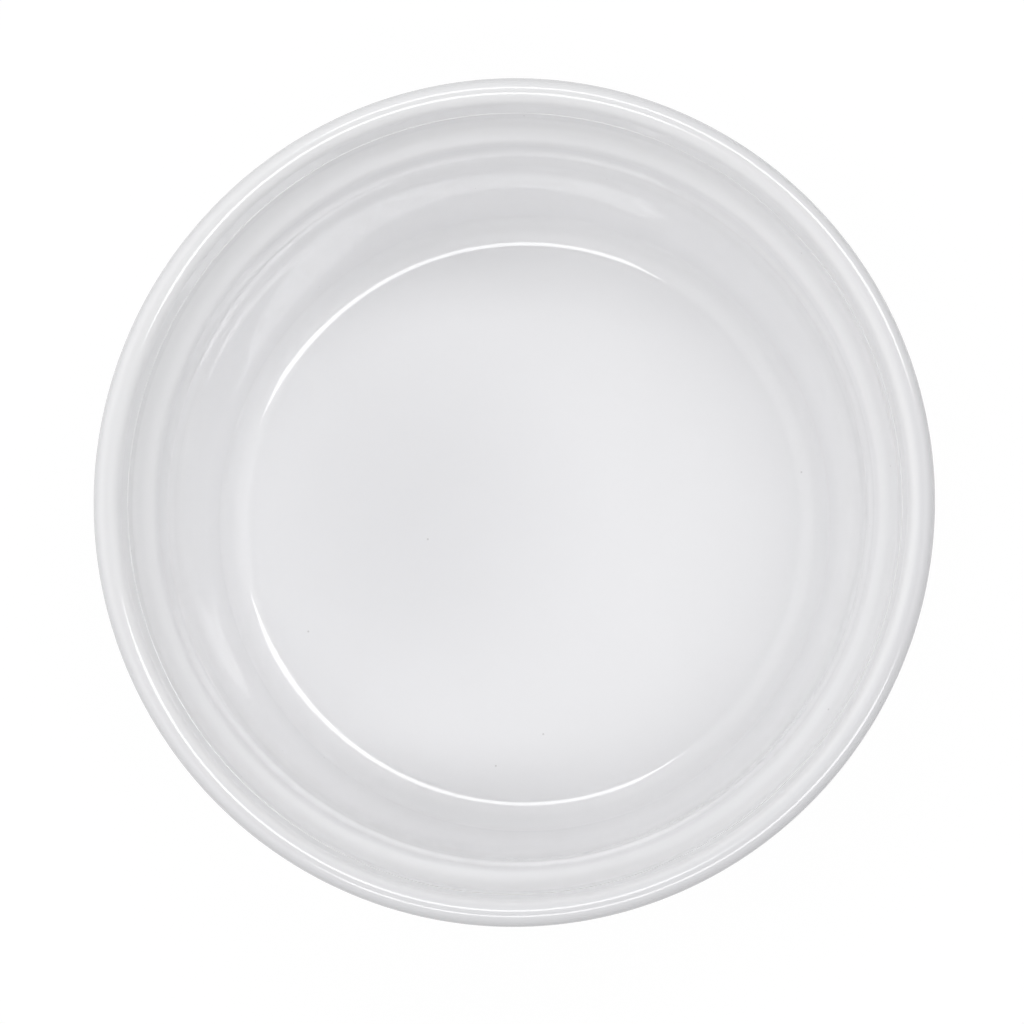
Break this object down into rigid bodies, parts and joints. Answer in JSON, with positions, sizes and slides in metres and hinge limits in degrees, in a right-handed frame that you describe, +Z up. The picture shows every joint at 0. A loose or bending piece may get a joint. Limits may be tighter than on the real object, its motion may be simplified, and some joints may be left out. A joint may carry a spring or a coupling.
{
  "type": "ramekin",
  "caption": "Small round glazed ceramic baking dish with a rounded lip, an inner shoulder, a plain rim band, a fluted tapered wall and an unglazed foot ring.",
  "frame": {"origin": "centre of the foot ring, on the surface that the dish stands on", "axes": "+Z up along the dish's axis, out of its mouth"},
  "size_m": [0.09, 0.09, 0.045],
  "materials": {
    "bare_clay": "matte",
    "white_glaze": "gloss"
  },
  "bodies": {
    "root": {"clay_body": "bare_clay", "glaze_coat": "white_glaze", "base_glaze": "white_glaze"}
  },
  "joints": []
}
